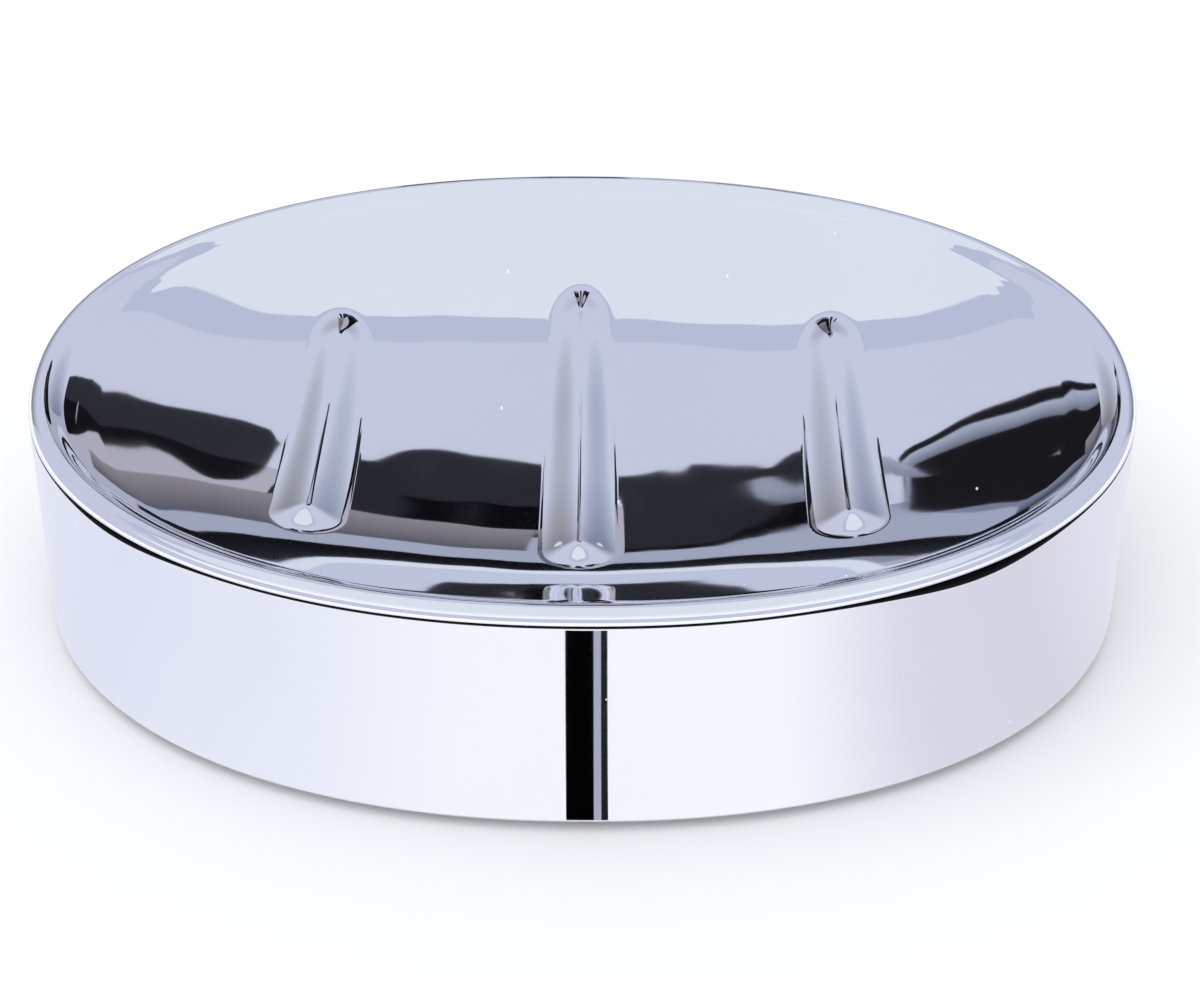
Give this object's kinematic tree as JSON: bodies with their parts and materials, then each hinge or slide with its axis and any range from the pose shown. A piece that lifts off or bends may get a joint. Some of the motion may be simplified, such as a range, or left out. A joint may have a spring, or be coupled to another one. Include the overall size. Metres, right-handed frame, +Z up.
{
  "type": "soap dish",
  "caption": "Oval countertop soap dish: a polished dished tray with raised parallel ribs and a rolled rim on a plain upright steel wall, closed below and standing on rubber feet.",
  "frame": {"origin": "on the standing surface, under the middle of the oval", "axes": "+Z up, +X along the oval's length to the right, -Y towards the front, the ribs run along Y"},
  "size_m": [0.13, 0.096, 0.0303],
  "materials": {
    "polished_wall": "mirror polished, smooth",
    "polished_tray": "mirror polished over a slightly wavy pressing",
    "base_plastic": "fine moulded grain",
    "foot_rubber": "matte, lightly dusty"
  },
  "bodies": {
    "root": {"side_band": "polished_wall", "soap_tray": "polished_tray", "base_plate": "base_plastic", "foot_front_left": "foot_rubber", "foot_front_right": "foot_rubber", "foot_back_left": "foot_rubber", "foot_back_right": "foot_rubber"}
  },
  "joints": []
}
